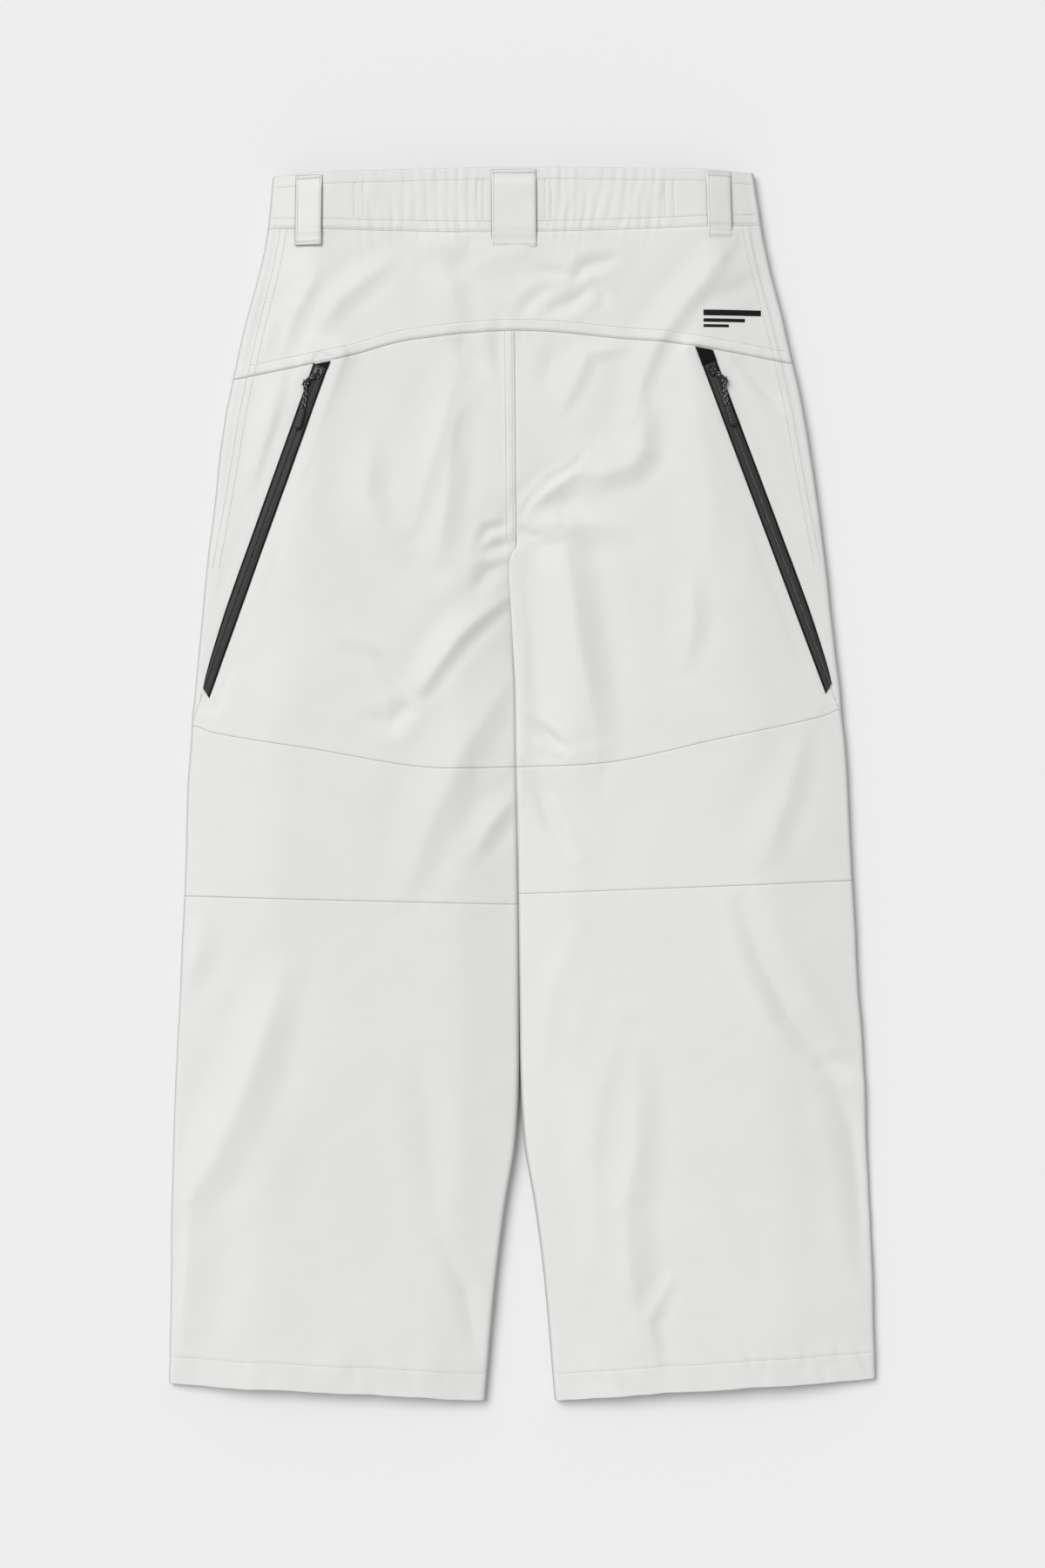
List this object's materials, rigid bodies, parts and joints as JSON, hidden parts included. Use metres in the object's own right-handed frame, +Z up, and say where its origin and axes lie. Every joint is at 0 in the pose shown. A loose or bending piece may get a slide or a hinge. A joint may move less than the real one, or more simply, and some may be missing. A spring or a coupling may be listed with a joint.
{
  "type": "ski pants",
  "caption": "Off-white shell ski pants lying flat on their front, with back yoke, diagonal thigh vent zips, knee panels, belt loops and gaitered hems.",
  "frame": {"origin": "under the middle of the lying garment, on the surface it lies on", "axes": "+Y towards the waist, +X towards the wearer's right leg, +Z up out of the seat side"},
  "size_m": [0.6086, 1.0578, 0.031],
  "materials": {
    "shell_fabric": "matt off-white woven shell cloth",
    "lining": "smooth light grey lining",
    "elastic": "ribbed off-white elastic",
    "zip_tape": "coated dark grey zip tape with black edges",
    "zip_coil": "black nylon coil",
    "zip_garage": "black bonded film",
    "dark_metal": "satin gunmetal",
    "pull_cord": "black braid with white flecks",
    "moulded_grip": "soft dark grey moulding",
    "print": "matt black transfer"
  },
  "bodies": {
    "garment": {"back_yoke": "shell_fabric", "left_back_thigh_panel": "shell_fabric", "right_back_thigh_panel": "shell_fabric", "left_side_panel": "shell_fabric", "right_side_panel": "shell_fabric", "left_knee_back_panel": "shell_fabric", "right_knee_back_panel": "shell_fabric", "left_front_panel": "shell_fabric", "right_front_panel": "shell_fabric", "left_knee_front_panel": "shell_fabric", "right_knee_front_panel": "shell_fabric", "waistband_back": "shell_fabric", "left_waistband_front": "shell_fabric", "right_waistband_front": "shell_fabric", "left_back_belt_loop": "shell_fabric", "centre_belt_loop": "shell_fabric", "right_back_belt_loop": "shell_fabric", "left_front_belt_loop": "shell_fabric", "right_front_belt_loop": "shell_fabric", "left_waist_elastic": "elastic", "right_waist_elastic": "elastic", "waistband_facing": "lining", "left_vent_zip_inner_tape": "zip_tape", "left_vent_zip_outer_tape": "zip_tape", "left_vent_zip_coil": "zip_coil", "left_vent_garage": "zip_garage", "right_vent_zip_inner_tape": "zip_tape", "right_vent_zip_outer_tape": "zip_tape", "right_vent_zip_coil": "zip_coil", "right_vent_garage": "zip_garage", "left_fly_zip_tape": "zip_tape", "right_fly_zip_tape": "zip_tape", "fly_zip_coil": "zip_coil", "fly_shield": "lining", "snap_stud": "dark_metal", "back_print": "print"},
    "left_lower_leg": {"left_lower_back_panel": "shell_fabric", "left_lower_front_panel": "shell_fabric", "left_hem_turning": "shell_fabric", "left_snow_gaiter": "lining"},
    "right_lower_leg": {"right_lower_back_panel": "shell_fabric", "right_lower_front_panel": "shell_fabric", "right_hem_turning": "shell_fabric", "right_snow_gaiter": "lining"},
    "left_vent_slider": {"left_vent_slider": "dark_metal"},
    "left_vent_pull": {"left_vent_pull_cord": "pull_cord", "left_vent_pull_grip": "moulded_grip"},
    "right_vent_slider": {"right_vent_slider": "dark_metal"},
    "right_vent_pull": {"right_vent_pull_cord": "pull_cord", "right_vent_pull_grip": "moulded_grip"},
    "fly_slider": {"fly_slider": "dark_metal"},
    "fly_pull": {"fly_pull_cord": "pull_cord", "fly_pull_grip": "moulded_grip"},
    "waist_tab": {"waist_tab": "shell_fabric", "snap_cap": "dark_metal"}
  },
  "joints": [
    {"name": "left_knee_fold", "type": "hinge", "parent": "garment", "child": "left_lower_leg", "pos_m": [-0.145, -0.0935, 0.0222], "axis": [-1, 0, 0], "range_deg": [0, 120]},
    {"name": "right_knee_fold", "type": "hinge", "parent": "garment", "child": "right_lower_leg", "pos_m": [0.145, -0.0935, 0.0222], "axis": [-1, 0, 0], "range_deg": [0, 120]},
    {"name": "left_vent_slide", "type": "slide", "parent": "garment", "child": "left_vent_slider", "axis": [-0.3477, -0.9368, -0.0397], "range_m": [0, 0.275]},
    {"name": "left_vent_pull_flip", "type": "hinge", "parent": "left_vent_slider", "child": "left_vent_pull", "pos_m": [-0.16992, 0.35488, 0.02637], "axis": [-0.9199, 0.349, -0.179], "range_deg": [0, 160]},
    {"name": "right_vent_slide", "type": "slide", "parent": "garment", "child": "right_vent_slider", "axis": [0.3477, -0.9368, -0.0397], "range_m": [0, 0.275]},
    {"name": "right_vent_pull_flip", "type": "hinge", "parent": "right_vent_slider", "child": "right_vent_pull", "pos_m": [0.16992, 0.35488, 0.02637], "axis": [-0.9199, -0.349, 0.179], "range_deg": [0, 160]},
    {"name": "fly_slide", "type": "slide", "parent": "garment", "child": "fly_slider", "axis": [0, -1, 0], "range_m": [0, 0.155]},
    {"name": "fly_pull_flip", "type": "hinge", "parent": "fly_slider", "child": "fly_pull", "pos_m": [0, 0.46585, 0.0029], "axis": [1, 0, 0], "range_deg": [0, 160]},
    {"name": "waist_tab_open", "type": "hinge", "parent": "garment", "child": "waist_tab", "pos_m": [0, 0.502, 0.0063], "axis": [0, 1, 0], "range_deg": [0, 150]}
  ]
}
